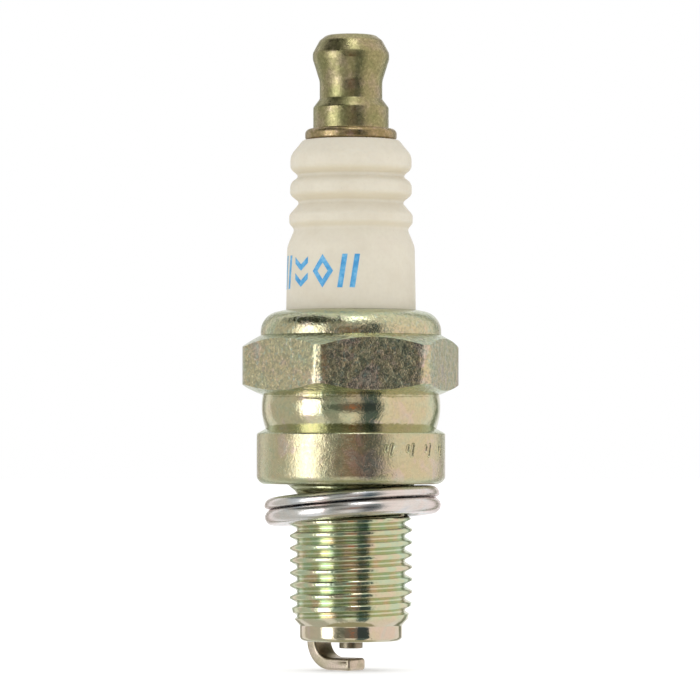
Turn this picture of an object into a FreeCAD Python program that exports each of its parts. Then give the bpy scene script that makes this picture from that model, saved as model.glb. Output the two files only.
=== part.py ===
"""Compact spark plug with an M10x1 thread, built as the separate pieces of the real plug.

Millimetres. The origin is on the plug's axis in the plane of the gasket seat, +Z points to the
terminal, and the thread and electrodes are below Z = 0. Outlines are (radius, height, rounding)
corners of a half section that is turned about the axis.
"""
import FreeCAD, Part
import math
import os

V = FreeCAD.Vector
AXIS = V(0, 0, 1)
ORIGIN = V(0, 0, 0)

# Thread and shell, outside
THREAD_R = 4.98            # M10x1, crest
THREAD_PITCH = 1.0
THREAD_ROOT_R = 4.40
THREAD_TOP_Z = -2.90       # first full crest under the gasket
THREAD_PHASE = 37.0        # degrees, where the cutter starts, clear of the rod's seam
SEAM_TURN = 10.0           # degrees, keeps the seam of the taper off the rod's seam
TAPER_Z = -9.40            # the last turns of the thread taper from here
TAPER_R = 4.60
REACH = 12.7               # gasket seat to the shell's end
NECK_R = 4.38              # plain neck between seat and thread
JOIN_Z = -1.50             # where the threaded end meets the barrel's neck
PILOT_R = 4.17             # plain end below the thread
PILOT_Z = -11.45
SEAT_INNER_R = 5.20        # gasket seat, a flat ring in the plane Z = 0
BARREL_R = 7.66
BARREL_TOP_Z = 4.50
WAIST_R = 6.94             # foot of the thin wall that buckles when the shell is closed
WAIST_BULGE_R = 7.27
WAIST_HEAD_R = 7.18
HEX_BOTTOM_Z = 7.26
HEX_TOP_Z = 12.10
HEX_ACROSS_FLATS = 15.85
HEX_CORNER_R = 8.93        # corners are turned down to this
HEX_TURN = 12.9            # degrees, clocking of the hexagon about the axis
HEX_FOOT_R = 7.26
HEX_LOW_CHAMFER = 0.80     # height of the chamfer at the corners, below and above
HEX_HIGH_CHAMFER = 0.96
HEX_CROWN = 0.015          # how far the chamfers bulge from straight cones, each way
DOME_R = 7.34              # rolled-over top of the shell
DOME_TOP_Z = 14.16

# Shell, inside
CHAMBER_BORE_R = 3.20      # around the insulator's nose
LEDGE_R = 2.85             # inner ledge that carries the insulator
LEDGE_Z = -6.40
MIDDLE_BORE_R = 3.55
UPPER_BORE_R = 6.30

# Insulator
COLLAR_R = 5.27            # plain printed part that leaves the shell
INSULATOR_TOP_Z = 27.97
SHOULDER_R = 6.20          # widest part, inside the shell
SHOULDER_Z = 9.30
MIDDLE_R = 3.45
STEP_Z = -5.60             # conical step that rests on the seat packing
NOSE_R = 1.85
NOSE_Z = -12.45
CORE_BORE_R = 1.55
TIP_BORE_R = 0.98
BORE_STEP_Z = -3.20

# Packing between insulator and rolled lip
LOWER_RING_Z = 10.45
TALC_BOTTOM_Z = 10.95
TALC_TOP_Z = 11.75
UPPER_RING_Z = 12.25

# Terminal
TERMINAL_R = 3.07          # cylinder that the plug cap slides over
TERMINAL_FLANGE_R = 3.73
TERMINAL_WAIST_R = 2.55
TERMINAL_BULGE_R = 3.11
TERMINAL_TOP_Z = 36.52

# Core: stud rod, glass, resistor, electrode
STUD_ROD_R = 1.45
STUD_ROD_Z = 8.40
UPPER_GLASS_Z = 5.60
RESISTOR_Z = 0.60
CENTER_R = 0.95
CENTER_HEAD_R = 1.40
CENTER_HEAD_Z = -1.90
CENTER_TIP_Z = -13.30
COPPER_R = 0.52
COPPER_TIP_Z = -12.00

# Ground electrode
STRAP_WIDTH = 2.15
STRAP_THICK = 1.00
STRAP_TURN = -40.0         # degrees, the direction in which the strap crosses the axis
STRAP_BASE_R = 3.40        # middle of the strap where it is welded to the shell's end
STRAP_TIP = 0.69           # how far the tip passes the axis
STRAP_ROUNDING = 0.27
SPARK_GAP = 0.80

# Gasket: one strip of sheet, folded twice into an S and closed into a ring
GASKET_SHEET = 0.44
GASKET_INNER_R = 4.72      # inner fold, smaller than the thread, so the ring stays on
GASKET_LIP_R = 5.40        # free edge of the lowest layer
GASKET_OUTER_R = 7.16
GASKET_HEIGHT = 2.22
GASKET_TILT = 5.2          # degrees, how far the loose ring hangs off square
GASKET_HEADING = -32.0     # degrees, the direction of its high side
GASKET_CURL = 0.42         # how far the top layer's edge reaches over the fold below it
GASKET_Z = -1.75
GASKET_SHIFT = 0.12        # sideways, towards +X

# Stamped lot marks on the barrel
MARK_COUNT = 4
MARK_FIRST = -66.5         # degrees about the axis
MARK_STEP = 15.0
MARK_Z = 2.80
MARK_WIDTH = 0.42
MARK_DEPTH = 0.14
MARK_SLANT = -14.0


def outline(corners):
    """Closed wire through (radius, height, rounding) corners, with an arc where one is rounded."""
    points = [V(r, 0, z) for r, z, _ in corners]
    runs = []
    for i, (_, _, rounding) in enumerate(corners):
        here = points[i]
        to_last = (points[i - 1] - here).normalize()
        to_next = (points[(i + 1) % len(points)] - here).normalize()
        if rounding == 0:
            runs.append((here, None, here))
            continue
        half = to_last.getAngle(to_next) / 2
        middle = (to_last + to_next).normalize()
        reach = rounding / math.tan(half)
        crown = here + middle * (rounding / math.sin(half) - rounding)
        runs.append((here + to_last * reach, crown, here + to_next * reach))
    edges = []
    for i, (start, crown, end) in enumerate(runs):
        if crown is not None:
            edges.append(Part.Arc(start, crown, end).toShape())
        following = runs[(i + 1) % len(runs)][0]
        if end.distanceToPoint(following) > 1e-6:
            edges.append(Part.makeLine(end, following))
    return Part.Wire(edges)


def turned(corners):
    """Solid turned about the Z axis from a half section."""
    return Part.Face(outline(corners)).revolve(ORIGIN, AXIS, 360)


def terminal_stud():
    """Solid terminal with its rod, one steel piece."""
    return turned([
        (0, STUD_ROD_Z, 0),
        (STUD_ROD_R - 0.25, STUD_ROD_Z, 0),
        (STUD_ROD_R, STUD_ROD_Z + 0.4, 0),
        (STUD_ROD_R, INSULATOR_TOP_Z, 0),
        (TERMINAL_FLANGE_R, INSULATOR_TOP_Z, 0.25),
        (TERMINAL_FLANGE_R, 28.88, 0.42),
        (TERMINAL_R, 28.88, 0.06),
        (TERMINAL_R, 30.62, 0.30),
        (TERMINAL_WAIST_R, 31.32, 0.25),
        (TERMINAL_WAIST_R, 32.75, 1.20),
        (TERMINAL_BULGE_R, 34.55, 0.70),
        (TERMINAL_BULGE_R, 35.05, 0.60),
        (2.56, 36.08, 0.50),
        (2.00, TERMINAL_TOP_Z, 0.60),
        (0, TERMINAL_TOP_Z, 0),
    ])


def insulator():
    """One alumina piece, from the ribs at the terminal to the nose around the centre electrode."""
    outer = [
        (CORE_BORE_R, INSULATOR_TOP_Z, 0),
        (3.90, INSULATOR_TOP_Z, 0.30),
        (4.93, 26.72, 1.15),
        (4.93, 25.62, 0.55),
        (4.20, 25.02, 0.24),
        (4.95, 24.45, 0.70),
        (4.95, 23.50, 0.50),
        (4.16, 22.88, 0.26),
        (5.03, 21.88, 0.45),
        (5.02, 21.18, 0.45),
        (4.60, 20.70, 0.40),
        (5.19, 19.30, 1.80),
        (COLLAR_R, 14.20, 0),
        (COLLAR_R, SHOULDER_Z + 0.70, 0.50),
        (SHOULDER_R, SHOULDER_Z, 0.40),
        (SHOULDER_R, 3.90, 0.80),
        (MIDDLE_R, 0.90, 0.80),
        (MIDDLE_R, STEP_Z, 0.15),
        (2.75, STEP_Z - 0.50, 0.40),
        (NOSE_R, NOSE_Z, 0.35),
    ]
    bore = [
        (TIP_BORE_R, NOSE_Z, 0),
        (TIP_BORE_R, BORE_STEP_Z - 0.45, 0),
        (CORE_BORE_R, BORE_STEP_Z, 0),
    ]
    return turned(outer + bore)


def threaded_rod():
    """Full rod with the thread cut in it: rounded root, 60 degree flanks, broken crest edges."""
    root_round = 0.16
    flank = math.tan(math.radians(30))
    root_half = root_round * math.cos(math.radians(30))
    flank_foot = THREAD_ROOT_R + root_round / 2
    crest_break = THREAD_R - 0.08
    crest_half = root_half + (crest_break - flank_foot) * flank
    outside = THREAD_R + 0.08
    mouth_half = crest_half + (outside - crest_break) / 2
    bottom_z = -REACH - 0.5
    side = [V(flank_foot, 0, root_half), V(crest_break, 0, crest_half), V(outside, 0, mouth_half)]
    low_side = [V(p.x, 0, -p.z) for p in side]
    edges = [Part.Arc(low_side[0], V(THREAD_ROOT_R, 0, 0), side[0]).toShape()]
    path = side + low_side[::-1]
    edges += [Part.makeLine(a, b) for a, b in zip(path, path[1:])]
    section = Part.Wire(edges)
    height = round((THREAD_TOP_Z + 0.55 - bottom_z) / THREAD_PITCH) * THREAD_PITCH
    helix = Part.Wire(Part.makeHelix(THREAD_PITCH, height, THREAD_R))
    cutter = helix.makePipeShell([section], True, True)
    cutter.rotate(ORIGIN, AXIS, THREAD_PHASE)
    cutter.translate(V(0, 0, bottom_z + THREAD_PITCH * THREAD_PHASE / 360))
    rod = Part.makeCylinder(THREAD_R, height + 4, V(0, 0, bottom_z - 2))
    return rod.cut(cutter)


def groove(y, length):
    """Round-bottomed cutter that sinks MARK_DEPTH into a wall at x = 0, slanted like the marks."""
    cutter_r = (MARK_WIDTH ** 2 / 4 + MARK_DEPTH ** 2) / (2 * MARK_DEPTH)
    centre = V(cutter_r - MARK_DEPTH, y, -length / 2)
    end = Part.makeSphere(cutter_r, centre)
    rod = Part.makeCylinder(cutter_r, length, centre)
    cutter = rod.fuse([end, end.translated(V(0, 0, length))]).removeSplitter()
    cutter.rotate(ORIGIN, V(1, 0, 0), MARK_SLANT)
    return cutter


def lot_marks():
    """Cutters for the stamped lot marks, each a long and a short slanted stroke."""
    marks = []
    for i in range(MARK_COUNT):
        for stroke in (groove(0.20, 0.80), groove(-0.28, 0.30)):
            stroke.translate(V(BARREL_R, 0, MARK_Z))
            stroke.rotate(ORIGIN, AXIS, MARK_FIRST + i * MARK_STEP)
            marks.append(stroke)
    return marks


def hexagon():
    """Hexagon of the shell with its turned, very slightly crowned chamfers."""
    low_edge = V(HEX_CORNER_R, 0, HEX_BOTTOM_Z + HEX_LOW_CHAMFER)
    high_edge = V(HEX_CORNER_R, 0, HEX_TOP_Z - HEX_HIGH_CHAMFER)
    foot = V(HEX_FOOT_R, 0, HEX_BOTTOM_Z)
    head = V(DOME_R - 0.01, 0, HEX_TOP_Z)
    low_crown = (foot + low_edge) * 0.5 + V(HEX_CROWN, 0, -HEX_CROWN)
    high_crown = (head + high_edge) * 0.5 + V(HEX_CROWN, 0, HEX_CROWN)
    section = Part.Wire([
        Part.makeLine(V(0, 0, HEX_BOTTOM_Z), foot),
        Part.Arc(foot, low_crown, low_edge).toShape(),
        Part.makeLine(low_edge, high_edge),
        Part.Arc(high_edge, high_crown, head).toShape(),
        Part.makeLine(head, V(0, 0, HEX_TOP_Z)),
        Part.makeLine(V(0, 0, HEX_TOP_Z), V(0, 0, HEX_BOTTOM_Z)),
    ])
    blank = Part.Face(section).revolve(ORIGIN, AXIS, 360)
    corner_r = HEX_ACROSS_FLATS / 2 / math.cos(math.radians(30))
    turns = [math.radians(HEX_TURN + 60 * i) for i in range(7)]
    ring = [V(corner_r * math.cos(t), corner_r * math.sin(t), HEX_BOTTOM_Z) for t in turns]
    prism = Part.Face(Part.makePolygon(ring)).extrude(V(0, 0, HEX_TOP_Z - HEX_BOTTOM_Z))
    return blank.common(prism)


def threaded_end():
    """Neck, thread and pilot end: the threaded rod with the waste above and below turned off."""
    waste_r = THREAD_R + 1
    above = turned([
        (0, JOIN_Z, 0),
        (NECK_R, JOIN_Z, 0),
        (NECK_R, THREAD_TOP_Z + THREAD_R - NECK_R, 0),
        (THREAD_R, THREAD_TOP_Z, 0),
        (waste_r, THREAD_TOP_Z - 1, 0),
        (waste_r, 3, 0),
        (0, 3, 0),
    ])
    below = turned([
        (THREAD_R, TAPER_Z, 0),
        (TAPER_R, PILOT_Z + 0.50, 0),
        (PILOT_R, PILOT_Z, 0.20),
        (PILOT_R, -REACH, 0.40),
        (0, -REACH, 0),
        (0, -REACH - 6, 0),
        (waste_r, -REACH - 6, 0),
        (waste_r, TAPER_Z, 0),
    ])
    below.rotate(ORIGIN, AXIS, SEAM_TURN)
    return threaded_rod().cut(above).cut(below)


def barrel():
    """Barrel with the gasket seat, down to the neck."""
    return turned([
        (0, BARREL_TOP_Z, 0),
        (WAIST_R, BARREL_TOP_Z, 0),
        (BARREL_R, BARREL_TOP_Z - 0.40, 0.20),
        (BARREL_R, 0, 0.72),
        (SEAT_INNER_R, 0, 0),
        (NECK_R, -0.70, 0.60),
        (NECK_R, JOIN_Z, 0),
        (0, JOIN_Z, 0),
    ])


def waist():
    """Thin zone between barrel and hexagon, bulged by the hot closing of the shell."""
    foot = V(WAIST_R, 0, BARREL_TOP_Z)
    bulge = V(WAIST_BULGE_R, 0, 6.20)
    head = V(WAIST_HEAD_R, 0, HEX_BOTTOM_Z)
    section = Part.Wire([
        Part.makeLine(V(0, 0, BARREL_TOP_Z), foot),
        Part.Arc(foot, bulge, head).toShape(),
        Part.makeLine(head, V(0, 0, HEX_BOTTOM_Z)),
        Part.makeLine(V(0, 0, HEX_BOTTOM_Z), V(0, 0, BARREL_TOP_Z)),
    ])
    return Part.Face(section).revolve(ORIGIN, AXIS, 360)


def dome():
    """Rolled-over top of the shell, closed on the insulator."""
    lip_r = COLLAR_R + 0.02
    return turned([
        (0, HEX_TOP_Z, 0),
        (DOME_R, HEX_TOP_Z, 0),
        (DOME_R, 13.75, 1.65),
        (lip_r, DOME_TOP_Z, 0.10),
        (lip_r, DOME_TOP_Z - 0.60, 0),
        (0, DOME_TOP_Z - 0.60, 0),
    ])


def shell_bore():
    """Inside of the shell, for the insulator, the rings and the talc."""
    return turned([
        (0, -REACH - 1, 0),
        (CHAMBER_BORE_R, -REACH - 1, 0),
        (CHAMBER_BORE_R, LEDGE_Z - 0.90, 0),
        (LEDGE_R, LEDGE_Z - 0.50, 0),
        (LEDGE_R, LEDGE_Z, 0),
        (MIDDLE_BORE_R, STEP_Z - 0.35, 0),
        (MIDDLE_BORE_R, 0.80, 0.80),
        (UPPER_BORE_R, 3.70, 0.80),
        (UPPER_BORE_R, 12.70, 0.60),
        (COLLAR_R + 0.02, 13.25, 0),
        (COLLAR_R + 0.02, DOME_TOP_Z + 1, 0),
        (0, DOME_TOP_Z + 1, 0),
    ])


def shell():
    """Steel body: rolled lip, hexagon, buckled waist, barrel, seat, thread and pilot end."""
    body = hexagon().fuse([dome(), waist(), barrel(), threaded_end()])
    return body.cut([shell_bore()] + lot_marks()).removeSplitter()


def seat_packing():
    """Conical washer between the insulator's step and the shell's ledge."""
    return turned([
        (2.90, STEP_Z - 0.52, 0),
        (2.90, LEDGE_Z + 0.04, 0),
        (3.40, STEP_Z - 0.34, 0),
        (3.40, STEP_Z - 0.06, 0),
    ])


def wire_ring(z):
    """Round-wire packing ring in the space between insulator and shell."""
    wire_r = (UPPER_BORE_R - COLLAR_R) / 2 - 0.02
    return Part.makeTorus((UPPER_BORE_R + COLLAR_R) / 2, wire_r, V(0, 0, z))


def talc_seal():
    """Pressed talc between the two packing rings."""
    inner = COLLAR_R + 0.01
    outer = UPPER_BORE_R - 0.01
    return turned([
        (inner, TALC_BOTTOM_Z, 0),
        (outer, TALC_BOTTOM_Z, 0),
        (outer, TALC_TOP_Z, 0),
        (inner, TALC_TOP_Z, 0),
    ])


def upper_glass_seal():
    """Conductive glass that holds the stud's end and touches the resistor."""
    r = CORE_BORE_R - 0.01
    pocket_r = STUD_ROD_R - 0.25
    return turned([
        (0, UPPER_GLASS_Z, 0),
        (r, UPPER_GLASS_Z, 0),
        (r, STUD_ROD_Z, 0),
        (pocket_r, STUD_ROD_Z - 0.01, 0),
        (0, STUD_ROD_Z - 0.01, 0),
    ])


def resistor():
    """Carbon and glass pellet that damps radio noise."""
    return Part.makeCylinder(CORE_BORE_R - 0.01, UPPER_GLASS_Z - RESISTOR_Z, V(0, 0, RESISTOR_Z))


def lower_glass_seal():
    """Conductive glass around the head of the centre electrode."""
    r = CORE_BORE_R - 0.01
    return turned([
        (0, CENTER_HEAD_Z + 0.01, 0),
        (CENTER_HEAD_R + 0.01, CENTER_HEAD_Z + 0.01, 0),
        (CENTER_HEAD_R + 0.01, BORE_STEP_Z + 0.30, 0),
        (r, BORE_STEP_Z + 0.30, 0),
        (r, RESISTOR_Z, 0),
        (0, RESISTOR_Z, 0),
    ])


def center_electrode():
    """Nickel sheath with a headed top, open inside for the copper core."""
    return turned([
        (COPPER_R, CENTER_HEAD_Z, 0),
        (CENTER_HEAD_R, CENTER_HEAD_Z, 0.10),
        (CENTER_HEAD_R, BORE_STEP_Z + 0.05, 0),
        (CENTER_R, BORE_STEP_Z - 0.40, 0),
        (CENTER_R, CENTER_TIP_Z, 0.07),
        (0, CENTER_TIP_Z, 0),
        (0, COPPER_TIP_Z, 0),
        (COPPER_R, COPPER_TIP_Z + 0.60, 0),
    ])


def center_electrode_core():
    """Copper core that carries heat out of the electrode's tip."""
    return turned([
        (0, CENTER_HEAD_Z, 0),
        (COPPER_R, CENTER_HEAD_Z, 0),
        (COPPER_R, COPPER_TIP_Z + 0.60, 0),
        (0, COPPER_TIP_Z, 0),
    ])


def ground_electrode():
    """Nickel strap, welded to the shell's end and bent a quarter turn across the centre electrode."""
    half = STRAP_THICK / 2
    bend_r = -REACH - (CENTER_TIP_Z - SPARK_GAP - half)
    bend_x = bend_r - STRAP_BASE_R
    slope = math.sqrt(0.5)

    def side(r):
        start = V(bend_x - r, 0, -REACH)
        crown = V(bend_x - r * slope, 0, -REACH - r * slope)
        end = V(bend_x, 0, -REACH - r)
        return start, crown, end, V(STRAP_TIP, 0, -REACH - r)

    outer = side(bend_r + half)
    inner = side(bend_r - half)
    profile = Part.Wire([
        Part.Arc(*outer[:3]).toShape(),
        Part.makeLine(outer[2], outer[3]),
        Part.makeLine(outer[3], inner[3]),
        Part.makeLine(inner[3], inner[2]),
        Part.Arc(*inner[2::-1]).toShape(),
        Part.makeLine(inner[0], outer[0]),
    ])
    profile.translate(V(0, -STRAP_WIDTH / 2, 0))
    strap = Part.Face(profile).extrude(V(0, STRAP_WIDTH, 0))
    welded = [e for e in strap.Edges if e.BoundBox.ZMin > -REACH - 0.01]
    rounded = [e for e in strap.Edges if not any(e.isSame(w) for w in welded)]
    strap = strap.makeFillet(STRAP_ROUNDING, rounded)
    strap.rotate(ORIGIN, AXIS, STRAP_TURN)
    return strap


def gasket():
    """Folded sheet ring, loose on the neck and hanging off square."""
    half = GASKET_SHEET / 2
    high = GASKET_HEIGHT / 2 - half
    low = -high
    fold = high / 2
    outer = GASKET_OUTER_R - half - fold
    inner = GASKET_INNER_R + half + fold
    edge = GASKET_LIP_R + half
    slope = math.sqrt(0.5)
    path = [
        Part.makeLine(V(edge, 0, low), V(outer, 0, low)),
        Part.Arc(V(outer, 0, low), V(outer + fold, 0, -fold), V(outer, 0, 0)).toShape(),
        Part.makeLine(V(outer, 0, 0), V(inner, 0, 0)),
        Part.Arc(V(inner, 0, 0), V(inner - fold, 0, fold), V(inner, 0, high)).toShape(),
        Part.makeLine(V(inner, 0, high), V(outer, 0, high)),
        Part.Arc(V(outer, 0, high), V(outer + GASKET_CURL * slope, 0, high - GASKET_CURL * (1 - slope)),
                 V(outer + GASKET_CURL, 0, high - GASKET_CURL)).toShape(),
    ]
    section = Part.Wire(path).makeOffset2D(half)
    ring = Part.Face(section).revolve(ORIGIN, AXIS, 360)
    lean = math.radians(GASKET_HEADING)
    ring.rotate(ORIGIN, V(math.sin(lean), -math.cos(lean), 0), GASKET_TILT)
    ring.translate(V(GASKET_SHIFT, 0, GASKET_Z))
    return ring


NODES = {
    "terminal_stud": terminal_stud(),
    "insulator": insulator(),
    "shell": shell(),
    "gasket": gasket(),
    "ground_electrode": ground_electrode(),
    "center_electrode": center_electrode(),
    "center_electrode_core": center_electrode_core(),
    "upper_glass_seal": upper_glass_seal(),
    "resistor": resistor(),
    "lower_glass_seal": lower_glass_seal(),
    "seat_packing": seat_packing(),
    "lower_packing_ring": wire_ring(LOWER_RING_Z),
    "talc_seal": talc_seal(),
    "upper_packing_ring": wire_ring(UPPER_RING_Z),
}

os.makedirs("parts", exist_ok=True)
for name, shape in NODES.items():
    shape.exportStep("parts/" + name + ".step")
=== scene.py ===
"""Looks of a compact spark plug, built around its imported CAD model.

Metres, in the model's own frame: the plug's axis is Z, the terminal points up, the gasket seat is at
height 0, and the camera looks along +Y. Directions in the studio are degrees of azimuth from the
camera, positive to the viewer's right, and degrees of elevation.
"""
import math

import bmesh
import bpy
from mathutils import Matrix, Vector
from mathutils.bvhtree import BVHTree


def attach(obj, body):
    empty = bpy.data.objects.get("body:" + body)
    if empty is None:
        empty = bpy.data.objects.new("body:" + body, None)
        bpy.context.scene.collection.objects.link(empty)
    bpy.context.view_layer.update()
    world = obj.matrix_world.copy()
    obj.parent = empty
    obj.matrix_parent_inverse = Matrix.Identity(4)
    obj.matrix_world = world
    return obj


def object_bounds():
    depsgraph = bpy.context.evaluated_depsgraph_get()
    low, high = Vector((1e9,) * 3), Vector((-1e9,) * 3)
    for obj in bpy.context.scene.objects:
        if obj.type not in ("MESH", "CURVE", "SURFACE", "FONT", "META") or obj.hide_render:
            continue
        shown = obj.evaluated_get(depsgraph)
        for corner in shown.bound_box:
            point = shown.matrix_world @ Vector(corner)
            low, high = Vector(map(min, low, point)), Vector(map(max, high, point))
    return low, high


MM = 0.001
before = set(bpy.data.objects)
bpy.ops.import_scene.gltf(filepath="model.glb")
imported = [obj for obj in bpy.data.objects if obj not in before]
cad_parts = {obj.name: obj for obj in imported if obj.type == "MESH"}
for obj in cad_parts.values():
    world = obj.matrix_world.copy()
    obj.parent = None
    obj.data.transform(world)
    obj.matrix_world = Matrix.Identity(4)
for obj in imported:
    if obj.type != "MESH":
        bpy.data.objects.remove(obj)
cad_low, cad_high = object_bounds()
centre = (cad_low + cad_high) / 2
scene = bpy.context.scene

# Camera
CAMERA_DISTANCE = 360 * MM
CAMERA_BELOW_CENTRE = 8.5 * MM
CAMERA_LEFT = 0.08 * MM           # the camera and its aim are this far left of the axis
AIM_ABOVE_CENTRE = 0.19 * MM
VIEW_WIDTH = 56.9 * MM            # what the frame takes in at the plug's axis

# Studio
STUDIO_RADIUS = 0.70
BAND_RADIUS = STUDIO_RADIUS * 0.98      # the bands hang inside the larger cards
ACCENT_RADIUS = STUDIO_RADIUS * 0.96    # and the accents inside the bands
CARD_COLUMNS = 12
CARD_ROWS = 6
FLOOR_RADIUS = 3.0
FLOOR_SIDES = 64

# Heights at which the finish changes
PILOT_TOP = -10.7 * MM
THREAD_TOP = -1.2 * MM
SEAT = 0.0
BARREL_TOP = 4.4 * MM
HEXAGON_FOOT = 7.1 * MM
HEXAGON_HEAD = 11.9 * MM
FLANGE_TOP = 29.0 * MM            # top of the terminal's flange

# Roundness that the shading adds to the shell
WAIST_BULGE = 6.05 * MM           # height of the waist's fullest ring
WAIST_REACH = 1.55 * MM           # the bulge ends this far above and below it
WAIST_DEPTH = 0.22 * MM
CREST_R = 5.0 * MM                # radius of the thread's crests
CREST_REACH = 0.38 * MM           # the crests are round this far down
CREST_DEPTH = 0.26 * MM

# Shading of the CAD nodes
WELD = 0.0003 * MM
CORNER_ANGLE = 34                 # degrees; corners sharper than this stay sharp
FOLD_ANGLE = 100                  # the same for the gasket, whose folds are round

# Printed marks on the insulator
MARK_LOW = 15.80 * MM
MARK_HEIGHT = 2.70 * MM
MARK_HALF_WIDTH = 1.2 * MM        # no mark is wider than twice this
MARK_STROKE = 0.43 * MM
DIAMOND_STROKE = MARK_STROKE * 0.9
MARK_COUNT = 6
MARK_FIRST = -91.5                # degrees about the axis, -90 faces the camera
MARK_STEP = -24.5                 # each next mark is further to the viewer's left
INK_RAISED = 0.010 * MM
INK_SUNK = 0.010 * MM
INK_SLICE = 0.12 * MM             # the marks are cut this fine, to follow the round surface
INK_WELD = 0.0005 * MM
INK_ON_CUT = 1e-9                 # a point this near to a cut lies on it


# ---------------------------------------------------------------- materials: small helpers


def new_material(name, constants=None):
    """A node material, its tree and its Principled shader, with these inputs set on the shader."""
    material = bpy.data.materials.new(name)
    material.use_nodes = True
    tree = material.node_tree
    shader = tree.nodes["Principled BSDF"]
    for socket, value in (constants or {}).items():
        shader.inputs[socket].default_value = value
    return material, tree, shader


def put(tree, kind, inputs=None, **settings):
    """Adds a node, sets its properties and its inputs, each from a value or another node's output."""
    node = tree.nodes.new("ShaderNode" + kind)
    for key, value in settings.items():
        setattr(node, key, value)
    for key, value in (inputs or {}).items():
        if isinstance(value, bpy.types.NodeSocket):
            tree.links.new(value, node.inputs[key])
        else:
            node.inputs[key].default_value = value
    return node


def sums(tree, operation, a, b=0.0):
    """One step of arithmetic."""
    return put(tree, "Math", {0: a, 1: b}, operation=operation).outputs[0]


def spread(tree, value, low, high, to_low=0.0, to_high=1.0):
    """value mapped from low..high to to_low..to_high, held at the ends."""
    inputs = {0: value, 1: low, 2: high, 3: to_low, 4: to_high}
    return put(tree, "MapRange", inputs, clamp=True).outputs[0]


def mix(tree, share, a, b):
    """Colour a, with this share of colour b."""
    node = put(tree, "Mix", {0: share, 6: a, 7: b}, data_type="RGBA")
    return node.outputs[2]


def noise(tree, place, size, detail=2.0, roughness=0.5, distortion=0.0):
    """Noise whose features are about size across."""
    inputs = {"Vector": place, "Scale": 1 / size, "Detail": detail, "Roughness": roughness,
              "Distortion": distortion}
    return put(tree, "TexNoise", inputs).outputs["Fac"]


def tones(tree, value, stops):
    """Colour ramp through (position, colour) stops."""
    node = put(tree, "ValToRGB", {0: value})
    ramp = node.color_ramp
    while len(ramp.elements) < len(stops):
        ramp.elements.new(0.5)
    for element, (position, colour) in zip(ramp.elements, stops):
        element.position = position
        element.color = (*colour, 1)
    return node.outputs[0]


def object_place(tree):
    """Object coordinates, and their three parts."""
    place = put(tree, "TexCoord").outputs["Object"]
    parts = put(tree, "SeparateXYZ", {0: place}).outputs
    return place, parts


def round_place(tree, parts, around, along):
    """Coordinates that run around and along the axis, for turning marks."""
    angle = sums(tree, "ARCTAN2", parts[1], parts[0])
    ring = put(tree, "CombineXYZ", {0: sums(tree, "MULTIPLY", angle, around),
                                    1: sums(tree, "MULTIPLY", parts[2], along)})
    return ring.outputs[0]


def upward(tree):
    """Upward part of the surface's normal: 1 on top faces, 0 on walls, -1 underneath."""
    normal = put(tree, "NewGeometry").outputs["Normal"]
    return put(tree, "SeparateXYZ", {0: normal}).outputs[2]


def bumps(tree, height, depth, normal=None):
    """Normal from a height of 0 to 1 that stands for this depth."""
    inputs = {"Height": height, "Distance": depth, "Strength": 1.0}
    if normal is not None:
        inputs["Normal"] = normal
    return put(tree, "Bump", inputs).outputs[0]


def wear(tree, shader, colour, roughness, normal):
    """Joins the finished colour, roughness and normal to the shader."""
    tree.links.new(colour, shader.inputs["Base Color"])
    tree.links.new(roughness, shader.inputs["Roughness"])
    tree.links.new(normal, shader.inputs["Normal"])


# ---------------------------------------------------------------- materials: the shell


def on_barrel(tree, height, amount=1.0):
    """This amount on the shell's barrel, and 0 above and below it."""
    below_top = spread(tree, height, BARREL_TOP, BARREL_TOP - 0.2 * MM)
    above_seat = spread(tree, height, SEAT - 0.2 * MM, SEAT, 0.0, amount)
    return sums(tree, "MULTIPLY", below_top, above_seat)


def coarseness(tree, height):
    """How coarse the crystals are: most on the hexagon, less on the dome, least in the thread."""
    foot = spread(tree, height, HEXAGON_FOOT, HEXAGON_FOOT + 0.4 * MM, 0.34, 1.0)
    head = spread(tree, height, HEXAGON_HEAD, HEXAGON_HEAD + 0.5 * MM, 1.0, 0.75)
    below_seat = spread(tree, height, SEAT, SEAT - 2.0 * MM, 1.0, 0.35)
    return sums(tree, "MULTIPLY", sums(tree, "MULTIPLY", foot, head), below_seat)


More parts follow.
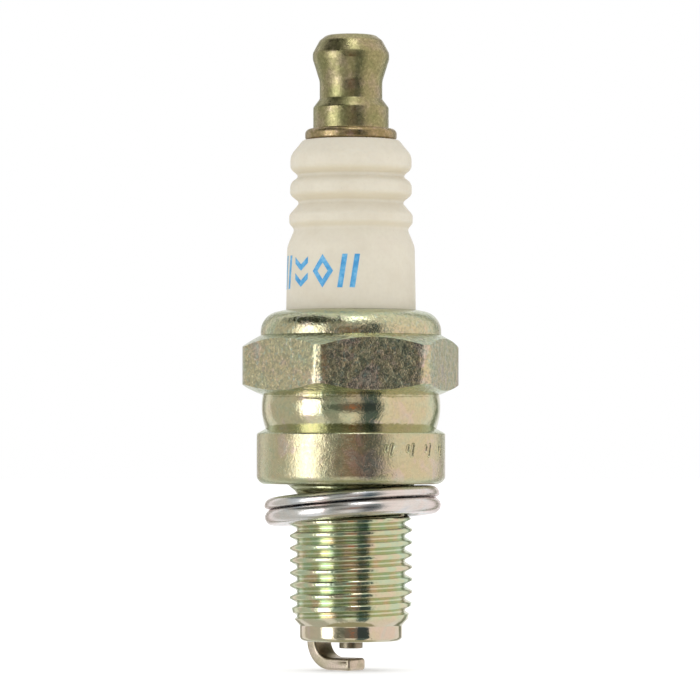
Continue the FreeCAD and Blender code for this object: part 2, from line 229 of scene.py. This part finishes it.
def shell_film(tree, place, height, blotch, coarse):
    """Colours of the passivation: straw, green and pink, paler in the thread, flecked where coarse."""
    cloud = noise(tree, place, 2.6 * MM, 3, 0.6, 0.4)
    film = tones(tree, cloud, [
        (0.30, (0.52, 0.54, 0.35)), (0.43, (0.61, 0.56, 0.36)), (0.53, (0.62, 0.54, 0.34)),
        (0.62, (0.66, 0.54, 0.42)), (0.72, (0.57, 0.55, 0.45))])
    sloped = spread(tree, sums(tree, "ABSOLUTE", upward(tree)), 0.12, 0.80, 0.0, 0.62)
    film = mix(tree, sloped, film, (0.49, 0.57, 0.37, 1))

    pale = tones(tree, noise(tree, place, 1.2 * MM, 2, 0.5), [
        (0.38, (0.55, 0.65, 0.46)), (0.52, (0.62, 0.64, 0.42)), (0.64, (0.70, 0.61, 0.44))])
    below_top = spread(tree, height, THREAD_TOP, THREAD_TOP - 1.4 * MM)
    above_pilot = spread(tree, height, PILOT_TOP, PILOT_TOP - 0.4 * MM, 1.0, 0.0)
    film = mix(tree, sums(tree, "MULTIPLY", below_top, above_pilot), film, pale)
    pilot_pink = 0.35
    on_pilot = sums(tree, "SUBTRACT", pilot_pink, sums(tree, "MULTIPLY", above_pilot, pilot_pink))
    film = mix(tree, on_pilot, film, (0.72, 0.60, 0.52, 1))

    crystals = put(tree, "TexVoronoi", {"Vector": place, "Scale": 1 / (0.17 * MM)}).outputs["Color"]
    crystal = put(tree, "SeparateXYZ", {0: crystals}).outputs
    dark = spread(tree, sums(tree, "ADD", crystal[0], blotch), 0.50, 1.20, 0.42, 0.0)
    film = mix(tree, sums(tree, "MULTIPLY", dark, coarse), film, (0.18, 0.24, 0.19, 1))
    rosy = spread(tree, noise(tree, place, 0.30 * MM, 2, 0.5), 0.58, 0.70, 0.0, 0.30)
    film = mix(tree, sums(tree, "MULTIPLY", rosy, coarse), film, (0.78, 0.60, 0.54, 1))
    teal = spread(tree, noise(tree, place, 0.37 * MM, 3, 0.5), 0.44, 0.30, 0.0, 0.55)
    return mix(tree, sums(tree, "MULTIPLY", teal, coarse), film, (0.47, 0.58, 0.50, 1))


def shell_roughness(tree, height, blotch):
    """Blotchy roughness, lower on the waist and the pilot nose, and a little higher on the barrel."""
    above_barrel = spread(tree, height, BARREL_TOP, BARREL_TOP + 0.3 * MM, 1.0, 0.45)
    above_waist = spread(tree, height, HEXAGON_FOOT, HEXAGON_FOOT + 0.3 * MM)
    pilot = spread(tree, height, PILOT_TOP - 0.2 * MM, PILOT_TOP - 0.5 * MM, 1.0, 0.5)
    dullness = sums(tree, "MULTIPLY", sums(tree, "MAXIMUM", above_barrel, above_waist), pilot)
    roughness = sums(tree, "MULTIPLY", spread(tree, blotch, 0.32, 0.68, 0.11, 0.26), dullness)
    return sums(tree, "ADD", roughness, on_barrel(tree, height, 0.04))


def waist_bulge(tree, height):
    """Height of 1 at the waist's fullest ring, falling to 0 above and below it."""
    off = sums(tree, "MULTIPLY", sums(tree, "SUBTRACT", height, WAIST_BULGE), 1 / WAIST_REACH)
    return sums(tree, "MAXIMUM", sums(tree, "SUBTRACT", 1.0, sums(tree, "MULTIPLY", off, off)))


def rounded_crests(tree, parts):
    """Height that falls towards the thread's crests, so that they shade as round."""
    flat = put(tree, "CombineXYZ", {0: parts[0], 1: parts[1]}).outputs[0]
    radius = put(tree, "VectorMath", {0: flat}, operation="LENGTH").outputs["Value"]
    near_crest = spread(tree, radius, CREST_R - CREST_REACH, CREST_R)
    return sums(tree, "SUBTRACT", 1.0, sums(tree, "MULTIPLY", near_crest, near_crest))


def shell_relief(tree, place, parts, blotch, coarse):
    """Normal of the shell: its round forms, then waviness, crystals, fine grain and turning marks."""
    height = parts[2]
    normal = bumps(tree, waist_bulge(tree, height), WAIST_DEPTH)
    normal = bumps(tree, rounded_crests(tree, parts), CREST_DEPTH, normal)
    normal = bumps(tree, noise(tree, place, 1.3 * MM, 2, 0.5), 0.012 * MM, normal)
    normal = bumps(tree, sums(tree, "MULTIPLY", blotch, coarse), 0.085 * MM, normal)
    grain = noise(tree, place, 0.15 * MM, 3, 0.65)
    grainy = sums(tree, "MAXIMUM", coarse, on_barrel(tree, height))
    normal = bumps(tree, sums(tree, "MULTIPLY", grain, grainy), 0.024 * MM, normal)
    turning = noise(tree, round_place(tree, parts, 4.0, 1 / (0.09 * MM)), 1.0, 2, 0.5)
    turned = sums(tree, "ADD", 0.12, on_barrel(tree, height, 1.2))
    return bumps(tree, sums(tree, "MULTIPLY", turning, turned), 0.0085 * MM, normal)


def shell_plating():
    """Yellow-passivated zinc over a crystal grain, coarsest on the hexagon."""
    material, tree, shader = new_material("shell_plating_look", {"Metallic": 1.0})
    place, parts = object_place(tree)
    height = parts[2]
    blotch = noise(tree, place, 0.62 * MM, 4, 0.60, 0.5)
    coarse = coarseness(tree, height)
    film = shell_film(tree, place, height, blotch, coarse)
    roughness = shell_roughness(tree, height, blotch)
    normal = shell_relief(tree, place, parts, blotch, coarse)
    wear(tree, shader, film, roughness, normal)
    return material


# ---------------------------------------------------------------- materials: the other pieces


def terminal_plating():
    """Olive-brown passivated steel, satin and speckled, warmer on the flange."""
    material, tree, shader = new_material("terminal_plating_look", {"Metallic": 1.0})
    place, parts = object_place(tree)
    cloud = noise(tree, place, 1.5 * MM, 3, 0.6)
    film = tones(tree, cloud, [
        (0.32, (0.34, 0.33, 0.15)), (0.50, (0.40, 0.36, 0.18)), (0.66, (0.46, 0.38, 0.24))])
    flange = spread(tree, parts[2], FLANGE_TOP, FLANGE_TOP - 0.15 * MM, 0.0, 0.75)
    gold = tones(tree, noise(tree, place, 0.5 * MM, 3, 0.6), [
        (0.35, (0.36, 0.26, 0.11)), (0.55, (0.50, 0.35, 0.20)), (0.68, (0.60, 0.42, 0.33))])
    film = mix(tree, flange, film, gold)
    grain = noise(tree, place, 0.22 * MM, 4, 0.7)
    film = mix(tree, spread(tree, grain, 0.36, 0.60, 0.55, 0.0), film, (0.13, 0.12, 0.06, 1))
    film = mix(tree, spread(tree, grain, 0.58, 0.70, 0.0, 0.35), film, (0.62, 0.54, 0.38, 1))
    roughness = spread(tree, noise(tree, place, 0.4 * MM, 3, 0.6), 0.35, 0.68, 0.26, 0.40)
    normal = bumps(tree, grain, 0.017 * MM)
    wear(tree, shader, film, roughness, normal)
    return material


def gasket_plating():
    """Bright plated sheet, streaked around the ring by rolling, pinker at two opposite ends."""
    material, tree, shader = new_material("gasket_plating_look", {"Metallic": 1.0})
    place, parts = object_place(tree)
    cloud = noise(tree, place, 2.4 * MM, 2, 0.5, 0.6)
    film = tones(tree, cloud, [
        (0.32, (0.66, 0.70, 0.76)), (0.46, (0.76, 0.75, 0.74)), (0.58, (0.78, 0.73, 0.70)),
        (0.70, (0.80, 0.67, 0.66))])
    streaks = noise(tree, round_place(tree, parts, 2.5, 1 / (0.11 * MM)), 1.0, 3, 0.6)
    film = mix(tree, spread(tree, streaks, 0.42, 0.60, 0.22, 0.0), film, (0.50, 0.48, 0.46, 1))
    ends = spread(tree, sums(tree, "ABSOLUTE", parts[0]), 5.8 * MM, 7.3 * MM, 0.0, 0.75)
    film = mix(tree, ends, film, (0.80, 0.60, 0.55, 1))
    roughness = spread(tree, streaks, 0.35, 0.65, 0.32, 0.20)
    normal = bumps(tree, noise(tree, place, 0.9 * MM, 2, 0.5), 0.014 * MM)
    normal = bumps(tree, streaks, 0.0030 * MM, normal)
    wear(tree, shader, film, roughness, normal)
    return material


def nickel_alloy(name, shade):
    """Drawn nickel alloy under a thin passivation film, satin, darkened by painted shade of this
    strength.
    """
    material, tree, shader = new_material(name, {"Metallic": 1.0})
    place, _ = object_place(tree)
    cloud = noise(tree, place, 1.0 * MM, 3, 0.6)
    film = tones(tree, cloud, [
        (0.34, (0.54, 0.48, 0.34)), (0.52, (0.66, 0.57, 0.45)), (0.68, (0.76, 0.63, 0.54))])
    grain = noise(tree, place, 0.10 * MM, 3, 0.65)
    film = mix(tree, spread(tree, grain, 0.40, 0.60, 0.30, 0.0), film, (0.24, 0.21, 0.15, 1))
    # Painted shade: a near-black olive mixed in by the given share, less where the cloud is high.
    film = mix(tree, spread(tree, cloud, 0.30, 0.70, shade, shade * 0.8), film, (0.10, 0.09, 0.04, 1))
    roughness = spread(tree, cloud, 0.35, 0.68, 0.44, 0.32)
    normal = bumps(tree, grain, 0.004 * MM)
    wear(tree, shader, film, roughness, normal)
    return material


def glazed_alumina():
    """Cream-white fired alumina under a thin glaze, with faint clouds and pores, and painted shade that
    makes it darker and browner underneath.
    """
    material, tree, shader = new_material("glazed_alumina_look", {
        "Specular IOR Level": 0.22, "Subsurface Weight": 0.12, "Subsurface Scale": 1.0,
        "Subsurface Radius": (0.9 * MM, 0.7 * MM, 0.5 * MM)})
    place, _ = object_place(tree)
    cloud = noise(tree, place, 3.5 * MM, 3, 0.55)
    body = tones(tree, cloud, [
        (0.35, (0.655, 0.60, 0.485)), (0.55, (0.69, 0.64, 0.525)), (0.70, (0.675, 0.62, 0.51))])
    pores = put(tree, "TexVoronoi", {"Vector": place, "Scale": 1 / (0.55 * MM)}).outputs["Distance"]
    speck = noise(tree, place, 0.3 * MM, 3, 0.6)
    body = mix(tree, spread(tree, pores, 0.10, 0.02, 0.0, 0.25), body, (0.42, 0.35, 0.25, 1))
    body = mix(tree, spread(tree, speck, 0.45, 0.65, 0.0, 0.10), body, (0.53, 0.47, 0.36, 1))
    # Painted shade: faces that look downwards are mixed towards a darker brown.
    underneath = spread(tree, upward(tree), -0.10, -0.80, 0.0, 0.55)
    body = mix(tree, underneath, body, (0.60, 0.52, 0.36, 1))
    roughness = spread(tree, speck, 0.35, 0.65, 0.38, 0.50)
    normal = bumps(tree, noise(tree, place, 0.8 * MM, 3, 0.5), 0.004 * MM)
    wear(tree, shader, body, roughness, normal)
    return material


def printed_ink():
    """Blue fired ink, thinner in places."""
    material, tree, shader = new_material("printed_ink_look", {"Specular IOR Level": 0.25})
    place, _ = object_place(tree)
    cover = noise(tree, place, 0.45 * MM, 4, 0.65)
    ink = tones(tree, cover, [
        (0.34, (0.05, 0.27, 0.56)), (0.50, (0.09, 0.36, 0.64)), (0.68, (0.20, 0.48, 0.72))])
    roughness = spread(tree, cover, 0.35, 0.65, 0.34, 0.46)
    normal = bumps(tree, cover, 0.002 * MM)
    wear(tree, shader, ink, roughness, normal)
    return material


def inner_material(name, dark, light, size, roughness, depth, metallic=0.0):
    """Plain inside piece: two tones in a grain of this size, and a bump of this depth."""
    material, tree, shader = new_material(name, {"Metallic": metallic})
    place, _ = object_place(tree)
    grain = noise(tree, place, size, 4, 0.65)
    colour = tones(tree, grain, [(0.35, dark), (0.65, light)])
    rough = spread(tree, grain, 0.35, 0.65, roughness - 0.08, roughness + 0.08)
    wear(tree, shader, colour, rough, bumps(tree, grain, depth))
    return material


# ---------------------------------------------------------------- smooth shading of the CAD nodes


def smooth_group(name, angle):
    """Node group that joins the faces' split edges and keeps only corners over angle sharp."""
    group = bpy.data.node_groups.new(name, "GeometryNodeTree")
    group.interface.new_socket("Geometry", in_out="INPUT", socket_type="NodeSocketGeometry")
    group.interface.new_socket("Geometry", in_out="OUTPUT", socket_type="NodeSocketGeometry")
    start = group.nodes.new("NodeGroupInput")
    weld = group.nodes.new("GeometryNodeMergeByDistance")
    weld.inputs["Distance"].default_value = WELD
    corner = group.nodes.new("GeometryNodeInputMeshEdgeAngle")
    is_sharp = group.nodes.new("FunctionNodeCompare")
    is_sharp.operation = "GREATER_THAN"
    is_sharp.inputs[1].default_value = math.radians(angle)
    round_faces = group.nodes.new("GeometryNodeSetShadeSmooth")
    round_faces.domain = "FACE"
    sharp_edges = group.nodes.new("GeometryNodeSetShadeSmooth")
    sharp_edges.domain = "EDGE"
    is_smooth = group.nodes.new("FunctionNodeBooleanMath")
    is_smooth.operation = "NOT"
    end = group.nodes.new("NodeGroupOutput")
    link = group.links.new
    link(start.outputs[0], weld.inputs["Geometry"])
    link(weld.outputs[0], round_faces.inputs["Geometry"])
    link(round_faces.outputs[0], sharp_edges.inputs["Geometry"])
    link(corner.outputs["Unsigned Angle"], is_sharp.inputs[0])
    link(is_sharp.outputs[0], is_smooth.inputs[0])
    link(is_smooth.outputs[0], sharp_edges.inputs["Shade Smooth"])
    link(sharp_edges.outputs[0], end.inputs[0])
    return group


def shade_round(node, group):
    """Gives a CAD node continuous normals over its tangent faces, by modifiers alone."""
    smooth = node.modifiers.new("smooth", "NODES")
    smooth.node_group = group
    weighted = node.modifiers.new("weighted", "WEIGHTED_NORMAL")
    weighted.mode = "FACE_AREA"
    weighted.weight = 50
    weighted.keep_sharp = True


# ---------------------------------------------------------------- printed marks


def hollow(points, stroke):
    """Quads between an outline around the origin and the same outline set in by the stroke."""
    sides = list(zip(points, points[1:] + points[:1]))
    inradius = min(abs(a[0] * b[1] - a[1] * b[0]) / math.dist(a, b) for a, b in sides)
    share = 1 - stroke / inradius
    quads = []
    for a, b in sides:
        quads.append([a, b, (b[0] * share, b[1] * share), (a[0] * share, a[1] * share)])
    return quads


def slanted_mark():
    """Two slanted bars side by side."""
    half = MARK_HEIGHT / 2
    lean = 0.42 * MM
    quads = []
    for foot in (-0.98 * MM, 0.02 * MM):
        quads.append([(foot, -half), (foot + MARK_STROKE, -half), (foot + MARK_STROKE + lean, half),
                      (foot + lean, half)])
    return quads


def diamond_mark():
    """Hollow diamond."""
    half = MARK_HEIGHT / 2
    wide = 0.92 * MM
    return hollow([(0, -half), (wide, 0), (0, half), (-wide, 0)], DIAMOND_STROKE)


def chevron_mark():
    """Two stacked chevrons."""
    wide = 0.80 * MM
    rise = 0.62 * MM
    thick = 0.52 * MM
    quads = []
    for foot in (-1.25 * MM, 0.05 * MM):
        for side in (-1, 1):
            quads.append([(0, foot), (side * wide, foot + rise), (side * wide, foot + rise + thick),
                          (0, foot + thick)][::side])
    return quads


def flat_mark(shapes):
    """The mark's flat outlines as triangles, cut into narrow upright slices."""
    grid = bmesh.new()
    for outline in shapes:
        grid.faces.new([grid.verts.new((u, v, 0)) for u, v in outline])
    cuts = int(MARK_HALF_WIDTH / INK_SLICE)
    for i in range(-cuts, cuts + 1):
        whole = grid.verts[:] + grid.edges[:] + grid.faces[:]
        cut = (i * INK_SLICE, 0, 0)
        bmesh.ops.bisect_plane(grid, geom=whole, dist=INK_ON_CUT, plane_co=cut, plane_no=(1, 0, 0))
    bmesh.ops.remove_doubles(grid, verts=grid.verts, dist=INK_WELD)
    bmesh.ops.triangulate(grid, faces=grid.faces[:])
    grid.normal_update()
    return grid


def wrapped_mark(shapes, turn, surface):
    """Closed thin solids for one mark, wrapped on the surface at this turn about the axis."""
    grid = flat_mark(shapes)
    walls = bmesh.ops.extrude_face_region(grid, geom=grid.faces[:])["geom"]
    top = {v for v in walls if isinstance(v, bmesh.types.BMVert)}
    middle = MARK_LOW + MARK_HEIGHT / 2
    radius = surface.ray_cast(Vector((1, 0, middle)), Vector((-1, 0, 0)))[0].x
    for vertex in grid.verts:
        angle = math.radians(turn) + vertex.co.x / radius
        out = Vector((math.cos(angle), math.sin(angle), 0))
        height = middle + vertex.co.y
        hit = surface.ray_cast(Vector((0, 0, height)) + out, -out)[0]
        lift = INK_RAISED if vertex in top else -INK_SUNK
        vertex.co = hit + out * lift
    bmesh.ops.recalc_face_normals(grid, faces=grid.faces[:])
    return grid


def printed_marks():
    """Row of plain blue marks fired on the insulator's collar."""
    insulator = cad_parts["insulator"].data
    points = [vertex.co for vertex in insulator.vertices]
    surface = BVHTree.FromPolygons(points, [face.vertices for face in insulator.polygons])
    kinds = [slanted_mark, diamond_mark, chevron_mark]
    whole = bmesh.new()
    for i in range(MARK_COUNT):
        kind = kinds[i % len(kinds)]
        grid = wrapped_mark(kind(), MARK_FIRST + i * MARK_STEP, surface)
        part = bpy.data.meshes.new("mark")
        grid.to_mesh(part)
        whole.from_mesh(part)
        grid.free()
        bpy.data.meshes.remove(part)
    mesh = bpy.data.meshes.new("printed_marks")
    whole.to_mesh(mesh)
    whole.free()
    piece = bpy.data.objects.new("printed_marks", mesh)
    scene.collection.objects.link(piece)
    mesh.materials.append(printed_ink())
    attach(piece, "plug")


# ---------------------------------------------------------------- studio


def toward(azimuth, elevation):
    """Unit direction seen from the plug. Azimuth 0 is the camera, positive to the viewer's right."""
    a, e = math.radians(azimuth), math.radians(elevation)
    return Vector((math.sin(a) * math.cos(e), -math.cos(a) * math.cos(e), math.sin(e)))


def card_mesh(name, azimuths, elevations, radius):
    """Patch of a sphere around the plug, between two azimuths and two elevations."""
    spots = []
    for j in range(CARD_ROWS + 1):
        elevation = elevations[0] + (elevations[1] - elevations[0]) * j / CARD_ROWS
        for i in range(CARD_COLUMNS + 1):
            azimuth = azimuths[0] + (azimuths[1] - azimuths[0]) * i / CARD_COLUMNS
            spots.append(centre + toward(azimuth, elevation) * radius)
    faces = []
    for j in range(CARD_ROWS):
        for i in range(CARD_COLUMNS):
            first = j * (CARD_COLUMNS + 1) + i
            above = first + CARD_COLUMNS + 1
            faces.append((first, first + 1, above + 1, above))
    mesh = bpy.data.meshes.new(name)
    mesh.from_pydata(spots, [], faces)
    return mesh


def card(name, azimuths, elevations, colour, radius=STUDIO_RADIUS):
    """Glowing card around the plug that is only seen in reflections."""
    mesh = card_mesh(name, azimuths, elevations, radius)
    piece = bpy.data.objects.new(name, mesh)
    scene.collection.objects.link(piece)
    material = bpy.data.materials.new(name)
    material.use_nodes = True
    tree = material.node_tree
    tree.nodes.clear()
    glow = put(tree, "Emission", {"Color": (*colour, 1), "Strength": 1.0})
    put(tree, "OutputMaterial", {"Surface": glow.outputs[0]})
    mesh.materials.append(material)
    piece.visible_camera = False
    piece.visible_diffuse = False
    piece.visible_shadow = False


def softbox(name, azimuth, elevation, distance, width, height, radiance):
    """Rectangular white lamp that faces the plug and gives this radiance."""
    lamp = bpy.data.lights.new(name, "AREA")
    lamp.shape = "RECTANGLE"
    lamp.size = width
    lamp.size_y = height
    lamp.energy = radiance * width * height * math.pi
    piece = bpy.data.objects.new(name, lamp)
    scene.collection.objects.link(piece)
    direction = toward(azimuth, elevation)
    piece.location = centre + direction * distance
    piece.rotation_mode = "QUATERNION"
    piece.rotation_quaternion = direction.to_track_quat("Z", "Y")
    piece.visible_camera = False
    piece.visible_diffuse = False


def white_room():
    """White surroundings that light the plug evenly."""
    world = bpy.data.worlds.new("white_room")
    scene.world = world
    world.use_nodes = True
    background = world.node_tree.nodes["Background"]
    background.inputs["Color"].default_value = (1, 1, 1, 1)
    background.inputs["Strength"].default_value = 1.0


def cards():
    """What the metal reflects: each card's azimuths, elevations and colour."""
    # Around the camera, for the walls that face it
    card("dark_right", (14, 41), (-58, 42), (0.12, 0.17, 0.18))
    card("dark_middle", (-12, 14), (-58, 42), (0.66, 0.61, 0.58))
    card("dark_left", (-38, -12), (-58, 40), (0.42, 0.44, 0.41))
    # A darker horizon, for the round waist
    card("band_right", (14, 40), (-15, 15), (0.055, 0.078, 0.088), BAND_RADIUS)
    card("band_middle", (-14, 14), (-15, 15), (0.22, 0.20, 0.18), BAND_RADIUS)
    card("band_left", (-32, -14), (-10, 10), (0.17, 0.19, 0.17), BAND_RADIUS)
    # A warm spot near the camera, and a bright card low in front
    card("warm_card", (-4, 7), (-7, 5), (0.50, 0.19, 0.10), ACCENT_RADIUS)
    card("low_front", (-15, 12), (-52, -19), (0.95, 0.92, 0.86), ACCENT_RADIUS)
    # The two sides, and stripes behind for the outer edges of upright walls
    card("left_card", (-128, -72), (-60, 34), (0.62, 0.62, 0.58))
    card("right_card", (41, 118), (-62, 78), (1.02, 0.95, 0.90))
    card("right_edge", (138, 154), (-40, 50), (0.29, 0.31, 0.24))
    card("back_edge", (-162, -146), (-50, 50), (0.40, 0.40, 0.34))
    # Above on the left, and below all around
    card("overhead_left", (-120, -3), (23, 68), (0.06, 0.065, 0.055))
    card("under", (-180, 180), (-89, -60), (0.44, 0.42, 0.30))


def paper_floor():
    """White floor that the metal doesn't reflect."""
    mesh = bpy.data.meshes.new("floor")
    rim = []
    for i in range(FLOOR_SIDES):
        angle = math.tau * i / FLOOR_SIDES
        rim.append((FLOOR_RADIUS * math.cos(angle), FLOOR_RADIUS * math.sin(angle), cad_low.z))
    mesh.from_pydata(rim, [], [tuple(range(FLOOR_SIDES))])
    floor = bpy.data.objects.new("floor", mesh)
    scene.collection.objects.link(floor)
    paper, _, _ = new_material("white_paper", {
        "Base Color": (0.95, 0.95, 0.95, 1), "Roughness": 0.9,
        "Emission Color": (1, 1, 1, 1), "Emission Strength": 0.30})
    mesh.materials.append(paper)
    floor.visible_glossy = False


def studio():
    """White room, a strip light on the left, a small lamp overhead, the cards and the floor."""
    white_room()
    softbox("strip_light", azimuth=-55, elevation=1, distance=0.62, width=0.29, height=0.54, radiance=2.3)
    softbox("top_light", azimuth=10, elevation=64, distance=0.60, width=0.11, height=0.15, radiance=7.0)
    cards()
    paper_floor()


def place_camera():
    """Long lens, level with the shell's barrel and tipped up a little."""
    data = bpy.data.cameras.new("camera")
    camera = bpy.data.objects.new("camera", data)
    scene.collection.objects.link(camera)
    aim = centre + Vector((-CAMERA_LEFT, 0, AIM_ABOVE_CENTRE))
    camera.location = centre + Vector((-CAMERA_LEFT, -CAMERA_DISTANCE, -CAMERA_BELOW_CENTRE))
    away = camera.location - aim
    camera.rotation_mode = "QUATERNION"
    camera.rotation_quaternion = away.to_track_quat("Z", "Y")
    data.lens = data.sensor_width * away.length / VIEW_WIDTH
    data.clip_start = 0.01
    data.clip_end = 20
    scene.camera = camera


# ---------------------------------------------------------------- the plug


def packing_steel():
    """Dull grey steel of the washer and the two rings."""
    return inner_material("packing_steel_look", dark=(0.34, 0.33, 0.31), light=(0.48, 0.47, 0.45),
                          size=0.3 * MM, roughness=0.35, depth=0.003 * MM, metallic=1.0)


def seal_glass():
    """Brown conductive glass."""
    return inner_material("seal_glass_look", dark=(0.10, 0.07, 0.05), light=(0.30, 0.20, 0.13),
                          size=0.25 * MM, roughness=0.45, depth=0.006 * MM)


def copper():
    """Copper of the centre electrode's core."""
    return inner_material("copper_look", dark=(0.66, 0.32, 0.18), light=(0.78, 0.44, 0.30),
                          size=0.3 * MM, roughness=0.30, depth=0.002 * MM, metallic=1.0)


def resistor_glass():
    """Nearly black carbon and glass."""
    return inner_material("resistor_look", dark=(0.02, 0.02, 0.02), light=(0.07, 0.07, 0.065),
                          size=0.2 * MM, roughness=0.7, depth=0.010 * MM)


def talc():
    """Pressed white talc."""
    return inner_material("talc_look", dark=(0.68, 0.68, 0.65), light=(0.84, 0.84, 0.81),
                          size=0.25 * MM, roughness=0.8, depth=0.010 * MM)


def dress():
    """Gives each CAD node its material and continuous shading."""
    steel = packing_steel()
    glass = seal_glass()
    looks = {
        "terminal_stud": terminal_plating(),
        "insulator": glazed_alumina(),
        "shell": shell_plating(),
        "gasket": gasket_plating(),
        "ground_electrode": nickel_alloy("ground_electrode_look", 0.0),
        # The centre electrode is a copy of the nickel material darkened with painted shade; the ground
        # electrode has none.
        "center_electrode": nickel_alloy("center_electrode_look", 0.70),
        "center_electrode_core": copper(),
        "upper_glass_seal": glass,
        "lower_glass_seal": glass,
        "resistor": resistor_glass(),
        "seat_packing": steel,
        "lower_packing_ring": steel,
        "upper_packing_ring": steel,
        "talc_seal": talc(),
    }
    corners = smooth_group("smooth_corners", CORNER_ANGLE)
    folds = smooth_group("smooth_everywhere", FOLD_ANGLE)
    for name, material in looks.items():
        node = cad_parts[name]
        node.data.materials.clear()
        node.data.materials.append(material)
        shade_round(node, folds if name == "gasket" else corners)


scene.view_settings.view_transform = "Standard"
dress()
printed_marks()
studio()
place_camera()
